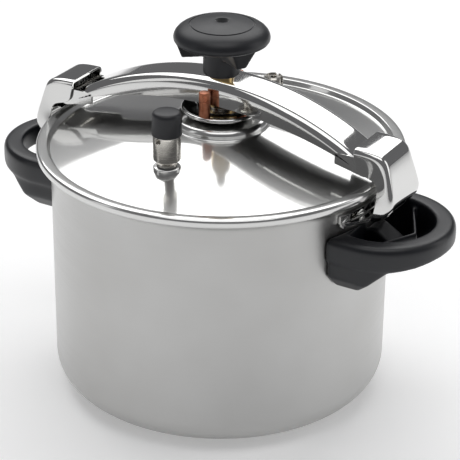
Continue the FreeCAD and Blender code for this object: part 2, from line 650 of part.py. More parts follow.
def hex_nut(name, bore, half_flats, offset, top):
    """A plain hexagon nut that hangs under the lid, with its upper face at the height top."""
    nut = doc.addObject("Part::Prism", name + "_hexagon")
    nut.Polygon = 6
    bind(nut, Circumradius=f"({half_flats}) / cos(30)", Height="4", Placement__Base__y=offset,
         Placement__Base__z=f"{top} - 4")
    return cut(name, nut, cylinder(name + "_bore", bore, f"{top} - 5", f"{top} + 1", along=offset))


# ---------------------------------------------------------------- safety valve
def make_safety():
    under = "safety_level - pad_rise - pad_sink"
    wall_radius = "safety_bore"
    bore = "safety_bore - 1.2"
    crown = "safety_level + safety_height"
    body = set_along(turned("safety_tube", [
        (bore, f"{under} - 6"), (wall_radius, f"{under} - 6"),
        (wall_radius, "safety_level + seal_sheet"), ("safety_radius + 1", "safety_level + seal_sheet"),
        ("safety_radius + 1", "safety_level + 3.5"), ("safety_radius", "safety_level + 3.5"),
        ("safety_radius", f"{crown} - 1"), ("safety_radius - 1", crown),
        ("safety_radius - 1.6", crown), ("safety_radius - 1.6", "safety_level + 2.5"),
        (bore, "safety_level + 2.5")]), "safety_offset")
    slots = []
    for number in range(2):
        slot = doc.addObject("Part::Box", f"safety_slot_{number}")
        slot.Placement = FreeCAD.Placement(Vector(0, 0, 0), Rotation(Vector(0, 0, 1), 90 * number))
        sideways = ("-safety_radius - 2", "-1.2") if number == 0 else ("1.2", "-safety_radius - 2")
        bind(slot, Length="2 * safety_radius + 4", Width="2.4", Height="6",
             Placement__Base__x=sideways[0], Placement__Base__y=f"safety_offset + ({sideways[1]})",
             Placement__Base__z=f"{crown} - 4")
        slots.append(slot)
    keep("safety_valve_body", cut("safety_slotted", body, fused("safety_slots", slots)))
    keep("safety_valve_washer", set_along(ring("safety_washer", wall_radius, "safety_radius + 1",
                                               "safety_level", "safety_level + seal_sheet"),
                                          "safety_offset"))
    keep("safety_valve_nut", hex_nut("safety_nut", wall_radius, "8", "safety_offset", under))
    disc = "safety_level + 2.5"
    keep("safety_plunger", set_along(turned("plunger", [
        ("0", f"{under} - 4"), ("plunger_radius", f"{under} - 4"), ("plunger_radius", disc),
        ("safety_bore", disc), ("safety_bore", f"{disc} + 1.2"), ("plunger_radius", f"{disc} + 1.2"),
        ("plunger_radius", f"{crown} - 3.5"), ("0", f"{crown} - 3.5")]), "safety_offset"))
    roof = f"{crown} - 2.5"
    keep("safety_valve_plug", set_along(ring("safety_plug", "plunger_radius + 0.4",
                                             "safety_radius - 1.6", roof, f"{roof} + 1.5"),
                                        "safety_offset"))
    make_spring(f"{disc} + 1.2", roof)


def make_spring(low, high):
    """A compression spring round the plunger's stem."""
    wire = value("spring_wire") / 2
    coil = value("plunger_radius + 0.5") + wire
    height = value(f"({high}) - ({low})") - 2 * wire - 0.1
    turns = value("spring_turns")
    path = Part.makeHelix(height / turns, height, coil)
    section = Part.Wire([Part.makeCircle(wire, Vector(coil, 0, 0), Vector(0, 1, 0))])
    spring = doc.addObject("Part::Feature", "safety_coil")
    spring.Shape = Part.Wire(path).makePipeShell([section], True, True)
    spring.Placement.Base = Vector(0, value("safety_offset"), value(low) + wire + 0.05)
    keep("safety_spring", spring)


# ---------------------------------------------------------------- build, check, write
make_pot()
make_handles()
make_lid()
make_clamp_seat()
make_screw()
make_knob()
make_arch()
keep_pair("claw", make_claw())
make_regulator()
make_safety()
doc.recompute()

failed = [thing.Name for thing in doc.Objects
          if {"Invalid", "Error"} & set(thing.State)]
if failed:
    raise RuntimeError("these objects did not compute: " + ", ".join(failed))
for node, thing in NODES.items():
    if thing.Shape.isNull() or not thing.Shape.isValid() or not thing.Shape.Solids:
        raise RuntimeError("no valid solid in " + node)

os.makedirs("parts", exist_ok=True)
for node, thing in NODES.items():
    thing.Shape.exportStep(f"parts/{node}.step")
    print(node, len(thing.Shape.Solids), round(thing.Shape.Volume))
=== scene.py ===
# %% [markdown]
# # A stove-top pressure canner
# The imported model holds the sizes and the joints. This lesson gives each visible piece the form
# and finish that the real one has: a spun and brushed pot, a polished lid, pressed steel hooks
# and moulded black grips. Every piece is made in place, in metres, and rides on a body.

# %% Load the frame
import json
import math
from functools import partial

import bmesh
import bpy
from mathutils import Matrix, Quaternion, Vector


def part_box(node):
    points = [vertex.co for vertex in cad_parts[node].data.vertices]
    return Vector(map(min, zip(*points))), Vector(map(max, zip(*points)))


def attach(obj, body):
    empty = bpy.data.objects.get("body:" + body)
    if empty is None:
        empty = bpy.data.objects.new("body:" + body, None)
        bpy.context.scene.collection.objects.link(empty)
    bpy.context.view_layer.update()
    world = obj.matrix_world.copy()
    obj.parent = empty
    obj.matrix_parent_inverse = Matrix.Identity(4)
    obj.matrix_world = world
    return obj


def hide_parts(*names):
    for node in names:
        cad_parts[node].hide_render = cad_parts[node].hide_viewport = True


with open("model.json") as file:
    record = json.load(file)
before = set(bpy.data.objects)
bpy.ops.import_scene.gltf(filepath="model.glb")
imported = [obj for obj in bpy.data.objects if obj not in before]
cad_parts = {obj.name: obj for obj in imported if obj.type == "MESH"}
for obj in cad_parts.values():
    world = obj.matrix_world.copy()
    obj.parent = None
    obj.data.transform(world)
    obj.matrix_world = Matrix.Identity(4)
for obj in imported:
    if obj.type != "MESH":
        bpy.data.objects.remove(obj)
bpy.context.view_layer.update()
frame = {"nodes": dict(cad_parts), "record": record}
nodes = frame["nodes"]
scene = bpy.context.scene
MM = 0.001
MERGE = 0.002 * MM
print("nodes in the frame:", len(nodes))


# %% [markdown]
# Round metal pieces are drawn as half an outline, then spun round an axis, as a lathe or a
# spinning chuck makes them. The outline is written in millimetres of radius and height, and
# its corners are short arcs, because a sharp corner never catches the light.

# %% Outlines, arcs and the lathe
def reach(node):
    """Lowest and highest corner of a CAD node, in millimetres."""
    low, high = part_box(node)
    return Vector(low) / MM, Vector(high) / MM


def arc(radius, height, size, start, end, steps=6):
    """Points of an arc round (radius, height); the angles are in degrees, 0 pointing outwards."""
    turns = [math.radians(start + (end - start) * step / steps) for step in range(steps + 1)]
    return [(radius + size * math.cos(turn), height + size * math.sin(turn)) for turn in turns]


SHARP = 35


def finished(name, shape, finish, body, *stands_for, sharp=SHARP):
    """Turn a bmesh into a piece of the object with its finish, and let it ride on its body."""
    mesh = bpy.data.meshes.new(name)
    shape.to_mesh(mesh)
    shape.free()
    mesh.shade_smooth()
    mesh.set_sharp_from_angle(angle=math.radians(sharp))
    piece = bpy.data.objects.new(name, mesh)
    scene.collection.objects.link(piece)
    mesh.materials.append(finish)
    if stands_for:
        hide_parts(*stands_for)
    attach(piece, body)
    return piece


def spin_outline(shape, outline, centre=(0, 0), steps=160):
    """Spin a closed outline, or an open one that starts and ends on the axis."""
    corners = [shape.verts.new((radius * MM, 0, height * MM)) for radius, height in outline]
    open_ends = outline[0][0] == 0 and outline[-1][0] == 0
    pairs = list(zip(corners, corners[1:])) + ([] if open_ends else [(corners[-1], corners[0])])
    edges = [shape.edges.new(pair) for pair in pairs]
    bmesh.ops.spin(shape, geom=corners + edges, cent=(0, 0, 0), axis=(0, 0, 1),
                   angle=math.tau, steps=steps, use_merge=True)
    bmesh.ops.remove_doubles(shape, verts=shape.verts, dist=MERGE)
    bmesh.ops.recalc_face_normals(shape, faces=shape.faces)
    bmesh.ops.translate(shape, verts=shape.verts, vec=(centre[0] * MM, centre[1] * MM, 0))


def turned(name, outline, finish, body, *stands_for, centre=(0, 0), steps=160):
    """A piece spun from its outline."""
    shape = bmesh.new()
    spin_outline(shape, outline, centre, steps)
    return finished(name, shape, finish, body, *stands_for)


def middle_y(node):
    """How far back the middle of a CAD node is."""
    low, high = reach(node)
    return (low.y + high.y) / 2


print("the pot reaches, in mm:", *reach("pot_body"))

# %% [markdown]
# ## Finishes
# Each finish is a small node tree. Texture coordinates come from the object, which sits at the
# origin, so a pattern that hardly changes along X and Y but quickly along Z gives the fine
# rings that a polishing belt leaves round a spun pot.

# %% Shader helpers
NOISE_LOW, NOISE_HIGH = 0.3, 0.7


def new_finish(name, colour, metallic, roughness):
    """A material with one Principled shader; its colour is linear."""
    finish = bpy.data.materials.new(name)
    finish.use_nodes = True
    shader = finish.node_tree.nodes["Principled BSDF"]
    shader.inputs["Base Color"].default_value = (*colour, 1)
    shader.inputs["Metallic"].default_value = metallic
    shader.inputs["Roughness"].default_value = roughness
    return finish


def add_noise(finish, scale, stretch=(1, 1, 1), detail=3):
    """A noise pattern on the object's own coordinates, stretched along each axis."""
    tree = finish.node_tree
    place = tree.nodes.new("ShaderNodeTexCoord")
    mapping = tree.nodes.new("ShaderNodeMapping")
    mapping.inputs["Scale"].default_value = stretch
    noise = tree.nodes.new("ShaderNodeTexNoise")
    noise.inputs["Scale"].default_value = scale
    noise.inputs["Detail"].default_value = detail
    tree.links.new(place.outputs["Object"], mapping.inputs["Vector"])
    tree.links.new(mapping.outputs["Vector"], noise.inputs["Vector"])
    return noise.outputs["Fac"]


def vary(finish, pattern, socket, low, high):
    """Let a pattern move a socket of the shader between two values."""
    tree = finish.node_tree
    spread = tree.nodes.new("ShaderNodeMapRange")
    spread.inputs["From Min"].default_value = NOISE_LOW
    spread.inputs["From Max"].default_value = NOISE_HIGH
    spread.inputs["To Min"].default_value = low
    spread.inputs["To Max"].default_value = high
    tree.links.new(pattern, spread.inputs["Value"])
    tree.links.new(spread.outputs["Result"], tree.nodes["Principled BSDF"].inputs[socket])


def tint(finish, pattern, dark, light):
    """Let a pattern mix two colours on the surface."""
    tree = finish.node_tree
    ramp = tree.nodes.new("ShaderNodeValToRGB")
    ramp.color_ramp.elements[0].position = NOISE_LOW
    ramp.color_ramp.elements[1].position = NOISE_HIGH
    ramp.color_ramp.elements[0].color = (*dark, 1)
    ramp.color_ramp.elements[1].color = (*light, 1)
    tree.links.new(pattern, ramp.inputs["Fac"])
    tree.links.new(ramp.outputs["Color"], tree.nodes["Principled BSDF"].inputs["Base Color"])


def emboss(finish, pattern, depth, strength):
    """Bump from a pattern; depth is in metres."""
    tree = finish.node_tree
    bump = tree.nodes.new("ShaderNodeBump")
    bump.inputs["Distance"].default_value = depth
    bump.inputs["Strength"].default_value = strength
    earlier = tree.nodes["Principled BSDF"].inputs["Normal"]
    if earlier.links:
        tree.links.new(earlier.links[0].from_socket, bump.inputs["Normal"])
    tree.links.new(pattern, bump.inputs["Height"])
    tree.links.new(bump.outputs["Normal"], earlier)


print("noise is spread from", NOISE_LOW, "to", NOISE_HIGH)

# %% [markdown]
# The pot is belt-polished to a satin, the lid and clamp are mirror-polished, the turned fittings
# keep faint tool rings, and the grips are a black phenolic moulding with a soft sheen.

# %% The finishes
def satin_steel():
    finish = new_finish("satin_steel", (0.52, 0.52, 0.51), 1, 0.34)
    rings = add_noise(finish, 60, (0.25, 0.25, 42), detail=4)
    clouds = add_noise(finish, 9)
    tint(finish, clouds, (0.475, 0.472, 0.462), (0.545, 0.545, 0.538))
    vary(finish, rings, "Roughness", 0.28, 0.38)
    emboss(finish, rings, 0.00004, 0.35)
    return finish


def mirror_steel(name, gloss):
    finish = new_finish(name, (0.68, 0.68, 0.67), 1, gloss)
    waves = add_noise(finish, 14, detail=1)
    hairs = add_noise(finish, 900, (1, 1, 6))
    vary(finish, hairs, "Roughness", gloss * 0.7, gloss * 1.5)
    emboss(finish, waves, 0.0005, 0.10)
    return finish


def hazy_mirror():
    """Polished sheet: a sharp reflection under the broad haze of fine wiping marks."""
    finish = mirror_steel("lid_polish", 0.06)
    tree = finish.node_tree
    sharp = tree.nodes["Principled BSDF"]
    haze = tree.nodes.new("ShaderNodeBsdfPrincipled")
    haze.inputs["Base Color"].default_value = (0.70, 0.70, 0.69, 1)
    haze.inputs["Metallic"].default_value = 1
    haze.inputs["Roughness"].default_value = 0.30
    blend = tree.nodes.new("ShaderNodeMixShader")
    blend.inputs["Fac"].default_value = 0.4
    tree.links.new(sharp.outputs["BSDF"], blend.inputs[1])
    tree.links.new(haze.outputs["BSDF"], blend.inputs[2])
    tree.links.new(blend.outputs["Shader"], tree.nodes["Material Output"].inputs["Surface"])
    return finish


def painted_shade_steel():
    """The unpolished inside of the channel: rougher, and its colour darkened as painted shade
    under the arch.
    """
    finish = new_finish("painted_shade_steel", (0.10, 0.10, 0.10), 1, 0.5)
    grain = add_noise(finish, 200)
    vary(finish, grain, "Roughness", 0.42, 0.58)
    emboss(finish, grain, 0.00002, 0.4)
    return finish


def turned_steel():
    finish = new_finish("turned_steel", (0.58, 0.56, 0.52), 1, 0.22)
    rings = add_noise(finish, 120, (1, 1, 30))
    vary(finish, rings, "Roughness", 0.16, 0.3)
    emboss(finish, rings, 0.00002, 0.3)
    return finish


def black_moulding(name, colour, roughness):
    finish = new_finish(name, colour, 0, roughness)
    skin = add_noise(finish, 1400, detail=2)
    flow = add_noise(finish, 35)
    dark, light = [[share * part for part in colour] for share in (0.82, 1.2)]
    tint(finish, flow, dark, light)
    vary(finish, flow, "Roughness", roughness - 0.05, roughness + 0.06)
    emboss(finish, skin, 0.00003, 0.45)
    finish.node_tree.nodes["Principled BSDF"].inputs["Specular IOR Level"].default_value = 0.55
    return finish


def copper_rod():
    finish = new_finish("copper_rod", (0.42, 0.16, 0.09), 1, 0.32)
    stains = add_noise(finish, 160)
    tint(finish, stains, (0.33, 0.11, 0.06), (0.52, 0.22, 0.13))
    vary(finish, stains, "Roughness", 0.24, 0.42)
    return finish


def yellow_brass():
    finish = new_finish("yellow_brass", (0.72, 0.52, 0.24), 1, 0.28)
    emboss(finish, add_noise(finish, 150, (1, 1, 20)), 0.00002, 0.3)
    return finish


def grey_rubber():
    finish = new_finish("grey_rubber", (0.16, 0.16, 0.16), 0, 0.7)
    emboss(finish, add_noise(finish, 600), 0.00003, 0.5)
    return finish


def cast_core():
    finish = new_finish("cast_core", (0.75, 0.75, 0.76), 1, 0.45)
    emboss(finish, add_noise(finish, 400), 0.00003, 0.5)
    return finish


SATIN = satin_steel()
MIRROR = mirror_steel("mirror_steel", 0.05)
SHEEN = mirror_steel("bright_steel", 0.13)
LID = hazy_mirror()
# The steel for the channel's inside is darkened in colour: painted shade.
SHADED_INSIDE = painted_shade_steel()
TURNED = turned_steel()
GRIP = black_moulding("grip_moulding", (0.0075, 0.0085, 0.0115), 0.36)
KNOB = black_moulding("knob_moulding", (0.0105, 0.0115, 0.015), 0.42)
COPPER = copper_rod()
BRASS = yellow_brass()
RUBBER = grey_rubber()
CORE = cast_core()

SLOT_FINISH = {
    "pot_steel": SATIN, "base_steel": SATIN, "core_aluminium": CORE, "grip_bakelite": GRIP,
    "knob_bakelite": KNOB, "cap_bakelite": KNOB, "lid_steel": LID, "yoke_steel": MIRROR,
    "claw_steel": MIRROR, "saucer_steel": MIRROR, "fitting_steel": TURNED, "valve_steel": TURNED,
    "pin_copper": COPPER, "nut_brass": BRASS, "seal_rubber": RUBBER,
}
for item in frame["record"]["subparts"]:
    mesh = nodes[item["node"]].data
    mesh.materials.clear()
    mesh.materials.append(SLOT_FINISH[item["material_slot"]])
print("finishes:", [finish.name for finish in bpy.data.materials if finish.users])

# %% [markdown]
# ## The pot
# A deep drawn steel pot has one wall thickness everywhere. The outline goes down the outside,
# round the corner and back up the inside. The lip flares in a quarter circle, and its edge is
# rounded so that the seal isn't cut.

# %% Pot wall
pot_low, pot_high = reach("pot_body")
LIP, LIP_TOP, FLOOR = pot_high.x, pot_high.z, pot_low.z
WALL, FLARE, LIP_FLAT, CORNER = 1.0, 8.0, 1.0, 20.0
SIDE = LIP - LIP_FLAT - FLARE
FLARE_FOOT = LIP_TOP - WALL - FLARE

pot_outline = [(0, FLOOR)]
pot_outline += arc(SIDE - CORNER, FLOOR + CORNER, CORNER, -90, 0, 16)
pot_outline += arc(SIDE + FLARE, FLARE_FOOT, FLARE, 180, 90, 10)
pot_outline += arc(LIP - WALL / 2, LIP_TOP - WALL / 2, WALL / 2, -90, 90, 6)
pot_outline += arc(SIDE + FLARE, FLARE_FOOT, FLARE + WALL, 90, 180, 10)
pot_outline += arc(SIDE - CORNER, FLOOR + CORNER, CORNER - WALL, 0, -90, 16)
pot_outline += [(0, FLOOR + WALL)]
pot = turned("pot_wall", pot_outline, SATIN, "pot", "pot_body", steps=200)
print("pot lip radius and height:", LIP, LIP_TOP, "faces:", len(pot.data.polygons))

# %% [markdown]
# ## The lid
# The lid is one pressed disc: a rim channel that holds the seal, a gutter, a shallow cone and a
# raised boss in the middle. The two valves stand on small flats, which are turned separately.

# %% Lid
lid_low, lid_high = reach("lid")
RIM, BOSS_TOP, SHEET = lid_high.x, lid_high.z, 1.0
SEAL_GAP, CHANNEL = 0.05, 7.2
RIM_TOP = reach("lid_gasket")[1].z + SEAL_GAP + SHEET
RIM_DROP, BOSS, BOSS_STEP = 3.5, 33.5, 6.0
GUTTER = RIM - 2 * SHEET - CHANNEL
CONE_FOOT = RIM_TOP - RIM_DROP
RIM_ROUND, BOSS_ROUND, CREASE, GUTTER_ROUND = 2.2, 4.0, 1.2, 0.9

lid_outline = [(0, BOSS_TOP - SHEET)]
lid_outline += arc(BOSS - BOSS_ROUND, BOSS_TOP - BOSS_ROUND, BOSS_ROUND - SHEET, 90, 0)
lid_outline += [(BOSS - SHEET, BOSS_TOP - BOSS_STEP - SHEET), (GUTTER + 0.4, CONE_FOOT - SHEET)]
lid_outline += [(GUTTER + 2, RIM_TOP - SHEET)]
lid_outline += arc(RIM - RIM_ROUND, RIM_TOP - RIM_ROUND, RIM_ROUND - SHEET, 90, 0, 4)
lid_outline += arc(RIM - SHEET / 2, lid_low.z, SHEET / 2, 180, 360, 4)
lid_outline += arc(RIM - RIM_ROUND, RIM_TOP - RIM_ROUND, RIM_ROUND, 0, 90, 6)
lid_outline += arc(GUTTER + 1 + GUTTER_ROUND, RIM_TOP - GUTTER_ROUND, GUTTER_ROUND, 90, 165, 4)
lid_outline += arc(GUTTER - 1, CONE_FOOT + 1.15, CREASE, -20, -100, 4)
lid_outline += arc(BOSS + CREASE, BOSS_TOP - BOSS_STEP + 1, CREASE, -95, -180, 4)
lid_outline += arc(BOSS - BOSS_ROUND, BOSS_TOP - BOSS_ROUND, BOSS_ROUND, 0, 90, 8)
lid_outline += [(0, BOSS_TOP)]
turned("lid_disc", lid_outline, LID, "lid", "lid", steps=224)


def raised_flat(name, offset, top):
    """The small flat on the cone that a valve is screwed down on."""
    radius, depth, edge = 9.4, 4.6, 0.8
    outline = [(0, top - depth), (radius, top - depth)]
    outline += arc(radius - edge, top - edge, edge, 0, 90, 4) + [(0, top)]
    turned(name, outline, LID, "lid", centre=(0, offset), steps=64)


VALVE_Y, SAFETY_Y = middle_y("valve_seat_washer"), middle_y("safety_valve_washer")
VALVE_FLAT = reach("valve_seat_washer")[0].z
SAFETY_FLAT = reach("safety_valve_washer")[0].z
raised_flat("valve_flat", VALVE_Y, VALVE_FLAT)
raised_flat("safety_flat", SAFETY_Y, SAFETY_FLAT)
print("lid radius:", RIM, "boss height:", BOSS_TOP, "valves at y:", VALVE_Y, SAFETY_Y)

# %% [markdown]
# ## Where the screw presses
# A turned saucer sits on the boss. Its rolled rim is bright, its middle is a deep recess for the
# foot of the screw, and two copper pins stand on it, one each side of the yoke.

# %% Saucer and guide pins
saucer_low, saucer_high = reach("pressure_saucer")
SAUCER, SAUCER_TOP, SAUCER_FOOT = saucer_high.x, saucer_high.z, saucer_low.z
RECESS, RECESS_DEPTH, ROLL, DISH = 16.5, 5.0, 1.5, 0.9
saucer_outline = [(0, SAUCER_FOOT), (SAUCER - 12, SAUCER_FOOT), (SAUCER - 7, SAUCER_FOOT + 1.6)]
saucer_outline += arc(SAUCER - ROLL, SAUCER_TOP - ROLL, ROLL, -60, 90, 8)
saucer_outline += [(SAUCER - 3.2, SAUCER_TOP - DISH), (RECESS + 2.4, SAUCER_TOP - DISH)]
saucer_outline += arc(RECESS + DISH, SAUCER_TOP - DISH, DISH, 90, 180, 5)
saucer_outline += [(RECESS, SAUCER_TOP - RECESS_DEPTH), (0, SAUCER_TOP - RECESS_DEPTH)]
turned("saucer", saucer_outline, MIRROR, "lid", "pressure_saucer")

PIN, PIN_EDGE, PIN_SUNK, GROOVE_UP, GROOVE_DEPTH = 4.0, 0.8, 0.8, 10.5, 0.25
for side in ("front", "back"):
    pin_low, pin_high = reach("guide_pin_" + side)
    foot, groove = pin_low.z - PIN_SUNK, pin_low.z + GROOVE_UP
    pin_outline = [(0, foot), (PIN, foot), (PIN, groove), (PIN - GROOVE_DEPTH, groove + 0.3)]
    pin_outline += [(PIN - GROOVE_DEPTH, groove + 0.8), (PIN, groove + 1.1)]
    pin_outline += arc(PIN - PIN_EDGE, pin_high.z - PIN_EDGE, PIN_EDGE, 0, 90, 4)
    pin_outline += [(0, pin_high.z)]
    turned("copper_pin_" + side, pin_outline, COPPER, "lid", "guide_pin_" + side,
           centre=(0, middle_y("guide_pin_" + side)), steps=48)
    print(side, "pin at y:", middle_y("guide_pin_" + side), "top:", pin_high.z)

# %% [markdown]
# ## Pressed steel: the yoke
# The yoke is a flat strip folded into a channel and bent into an arch. A grid is a good start:
# its rows run along the arch, its columns go up one flange, round a bend, over the top and down
# the other side. Moving the grid's points into place keeps clean rows for the reflections, and
# Solidify gives the sheet its thickness.

# %% Grids bent into pressed sheet
EDGE = 0.35
ARCH_ROWS, FLANGE_COLUMNS, TURN_COLUMNS, FLAT_COLUMNS = 72, 4, 5, 8
ARCH_COLUMNS = FLAT_COLUMNS + 2 * (TURN_COLUMNS + FLANGE_COLUMNS)


def bent_sheet(shape, rows, columns, place):
    """A grid whose point (row, column) goes to place(row, column), in millimetres."""
    made = bmesh.ops.create_grid(shape, x_segments=columns, y_segments=rows, size=0.5)
    for point in made["verts"]:
        column = round((point.co.x + 0.5) * columns)
        row = round((point.co.y + 0.5) * rows)
        point.co = Vector(place(row, column)) * MM


def thickened(piece, thickness, outside=1):
    """Thickness, then one round of subdivision so that the bends are round."""
    solid = piece.modifiers.new("sheet", "SOLIDIFY")
    solid.thickness = thickness * MM
    solid.offset = -outside
    solid.use_even_offset = True
    rim = piece.modifiers.new("edges", "BEVEL")
    rim.width = EDGE * MM
    rim.segments = 2
    rim.limit_method = "ANGLE"
    rim.angle_limit = math.radians(50)
    soft = piece.modifiers.new("bends", "SUBSURF")
    soft.levels = soft.render_levels = 1
    return piece


arch_high = reach("yoke_arch")[1]
ARCH_TOP, ARCH_HALF, ARCH_SPAN, ARCH_SHEET = arch_high.z, arch_high.y, 112.0, 2.0
ARCH_DROP, ARCH_DEPTH, FLANGE_DROP, BEND = 31.6, 17.5, 20.6, 6.5


def bow(x, drop):
    """How far an arch has dropped at x, when it drops by the given amount at its ends."""
    radius = (ARCH_SPAN ** 2 + drop ** 2) / (2 * drop)
    return radius - math.sqrt(radius ** 2 - x ** 2)


def channel_section(column, half, low, high, bend):
    """A point of a channel's outside: up the flange, round the bend, over the top and down."""
    side = -1
    if column > ARCH_COLUMNS / 2:
        column, side = ARCH_COLUMNS - column, 1
    if column <= FLANGE_COLUMNS:
        return side * half, low + (high - bend - low) * column / FLANGE_COLUMNS
    column -= FLANGE_COLUMNS
    if column <= TURN_COLUMNS:
        angle = math.pi / 2 * column / TURN_COLUMNS
        return (side * (half - bend + bend * math.cos(angle)),
                high - bend + bend * math.sin(angle))
    column -= TURN_COLUMNS
    return side * (half - bend) * (1 - column / (FLAT_COLUMNS / 2)), high


def arch_point(row, column):
    """A point of the arch: the section's top and flange edge drop along two different bows."""
    x = ARCH_SPAN * (2 * row / ARCH_ROWS - 1)
    high = ARCH_TOP - bow(x, ARCH_DROP)
    low = ARCH_TOP - ARCH_DEPTH - bow(x, FLANGE_DROP)
    y, z = channel_section(column, ARCH_HALF, low, high, BEND)
    return x, y, z


print("arch half width and top:", ARCH_HALF, ARCH_TOP)

# %% Yoke arch and the tongues that carry the hooks
shape = bmesh.new()
bent_sheet(shape, ARCH_ROWS, ARCH_COLUMNS, arch_point)
bmesh.ops.reverse_faces(shape, faces=shape.faces)
arch = thickened(finished("yoke_channel", shape, MIRROR, "yoke", "yoke_arch"), ARCH_SHEET)
# The inside of the channel takes the darkened steel: painted shade under the arch.
arch.data.materials.append(SHADED_INSIDE)
arch.modifiers["sheet"].material_offset = 1

PIVOT = 2.5
PIVOT_X = reach("claw_pin_right")[0].x + PIVOT
PIVOT_Z = reach("claw_pin_right")[0].z + PIVOT
TONGUE = 6.3
TONGUE_ROOT = ((98, PIVOT_Z - 1.5), (98, PIVOT_Z + 6.5), (110, PIVOT_Z + 3.4))
shape = bmesh.new()
for end in (-1, 1):
    for side in (-1, 1):
        points = []
        for layer in (ARCH_HALF - ARCH_SHEET, ARCH_HALF):
            ring = bmesh.ops.create_circle(
                shape, segments=32, radius=TONGUE * MM,
                matrix=Matrix.Translation(Vector((end * PIVOT_X, side * layer, PIVOT_Z)) * MM)
                @ Matrix.Rotation(math.pi / 2, 4, "X"))
            points += ring["verts"]
            for x, z in TONGUE_ROOT:
                points.append(shape.verts.new(Vector((end * x, side * layer, z)) * MM))
        bmesh.ops.convex_hull(shape, input=points)
bmesh.ops.delete(shape, geom=[point for point in shape.verts if not point.link_faces],
                 context="VERTS")
bmesh.ops.recalc_face_normals(shape, faces=shape.faces)
finished("yoke_tongues", shape, SHEEN, "yoke")
print("yoke grid faces:", len(arch.data.polygons), "pivots at x and z:", PIVOT_X, PIVOT_Z)

# %% [markdown]
# ## Pressed steel: the hooks
# Each hook is a capped channel. Down its side view run two lines: the outer face, and the free
# edge of its flanges. Every row of the grid joins a point of one line to a point of the other,
# so the sheet narrows over the lid's rim and opens out into a wide foot.

# %% Hook rows: outer face (x, z), flange edge (x, z) and half width, from the pivot
HOOK_ROWS = [
    ((-7.0, 13.0), (-7.1, 8.2), 19.1), ((-5.0, 13.0), (-5.6, 4.6), 19.1),
    ((0.0, 12.9), (-5.2, 0.6), 19.1), ((6.5, 12.4), (-3.6, -2.6), 19.1),
    ((11.3, 11.4), (0.0, -4.6), 19.1), ((14.8, 9.4), (4.6, -5.6), 19.2),
    ((16.9, 6.6), (8.4, -7.0), 19.3), ((18.4, 2.6), (10.8, -9.2), 19.5),
    ((20.0, -2.4), (11.8, -13.0), 20.0), ((21.8, -8.4), (11.9, -17.0), 20.8),
    ((23.6, -14.6), (11.9, -20.6), 21.7), ((24.7, -19.5), (11.8, -23.6), 22.4),
    ((24.4, -24.0), (11.4, -26.8), 22.6), ((22.4, -28.2), (10.6, -29.8), 22.6),
    ((18.4, -31.8), (9.4, -32.4), 22.4), ((14.6, -34.4), (8.2, -34.8), 22.2),
]
HOOK_BEND, HOOK_SHEET, TOE_SHEET = 3.6, 1.7, 2.0
HOOK_COLUMNS, TOE_ROWS, TOE_COLUMNS = 24, 28, 8


def hook_point(end, row, column):
    """A point of a hook's outside; end is 1 for the right hook and -1 for the left."""
    face, edge, half = HOOK_ROWS[row]
    face, edge = Vector(face), Vector(edge)
    inward = (edge - face).normalized()
    depth = (edge - face).length
    flange, turn, flat = 3, 4, 10
    side = -1
    if column > HOOK_COLUMNS / 2:
        column, side = HOOK_COLUMNS - column, 1
    if column <= flange:
        y, back = half, depth - (depth - HOOK_BEND) * column / flange
    elif column <= flange + turn:
        angle = math.pi / 2 * (column - flange) / turn
        y = half - HOOK_BEND + HOOK_BEND * math.cos(angle)
        back = HOOK_BEND - HOOK_BEND * math.sin(angle)
    else:
        y, back = (half - HOOK_BEND) * (1 - (column - flange - turn) / (flat / 2)), 0
    place = face + inward * back
    return end * (PIVOT_X + place.x), side * y, PIVOT_Z + place.y


def toe_point(end, row, column):
    """The crescent toe, from its outer edge to the pot's wall and up behind the flare."""
    toe_inner, toe_centre, toe_round = SIDE + 1.5, 84.2, 49.6
    low, lift = PIVOT_Z - 34.0, 6.2
    turn = math.radians(19.0) * (2 * row / TOE_ROWS - 1)
    along, across = toe_centre * math.cos(turn), toe_centre * math.sin(turn)
    outer = max(along + math.sqrt(toe_round ** 2 - across ** 2), toe_inner + 0.3)
    if column <= 4:
        radius, z = outer + (toe_inner + 1.2 - outer) * column / 4, low
    else:
        radius, z = toe_inner, low + 1.0 + (lift - 1.0) * (column - 5) / 3
    return end * radius * math.cos(turn), radius * math.sin(turn), z


for side, end in (("right", 1), ("left", -1)):
    shape = bmesh.new()
    bent_sheet(shape, len(HOOK_ROWS) - 1, HOOK_COLUMNS, partial(hook_point, end))
    if end > 0:
        bmesh.ops.reverse_faces(shape, faces=shape.faces)
    hook = finished("hook_" + side, shape, MIRROR, "claw_" + side, "claw_" + side)
    thickened(hook, HOOK_SHEET)
    shape = bmesh.new()
    bent_sheet(shape, TOE_ROWS, TOE_COLUMNS, partial(toe_point, end))
    bmesh.ops.recalc_face_normals(shape, faces=shape.faces)
    toe = finished("toe_" + side, shape, MIRROR, "claw_" + side)
    thickened(toe, TOE_SHEET, outside=0)
    print(hook.name, "and", toe.name, "grid faces:", len(hook.data.polygons),
          len(toe.data.polygons))

# %% [markdown]
# ## Moulded grips
# The side grips are phenolic mouldings with generous radii. The CAD solid has the right form but
# crisp edges. Remeshing a copy into small even faces and letting the faces relax rounds every
# edge and inner corner a little, as a mould does.

# %% Rounding a moulded piece
def moulded(name, source, voxel, rounds, finish, body, *stands_for):
    """A soft-edged copy of a mesh: remeshed, relaxed, and given its finish."""
    copy = bpy.data.objects.new(name + "_blank", source)
    scene.collection.objects.link(copy)
    remesh = copy.modifiers.new("even", "REMESH")
    remesh.mode = "VOXEL"
    remesh.voxel_size = voxel * MM
    evaluated = copy.evaluated_get(bpy.context.evaluated_depsgraph_get())
    shape = bmesh.new()
    shape.from_mesh(evaluated.to_mesh())
    bpy.data.objects.remove(copy)
    for _ in range(rounds):
        bmesh.ops.smooth_vert(shape, verts=shape.verts, factor=0.5, use_axis_x=True,
                              use_axis_y=True, use_axis_z=True)
    return finished(name, shape, finish, body, *stands_for, sharp=180)


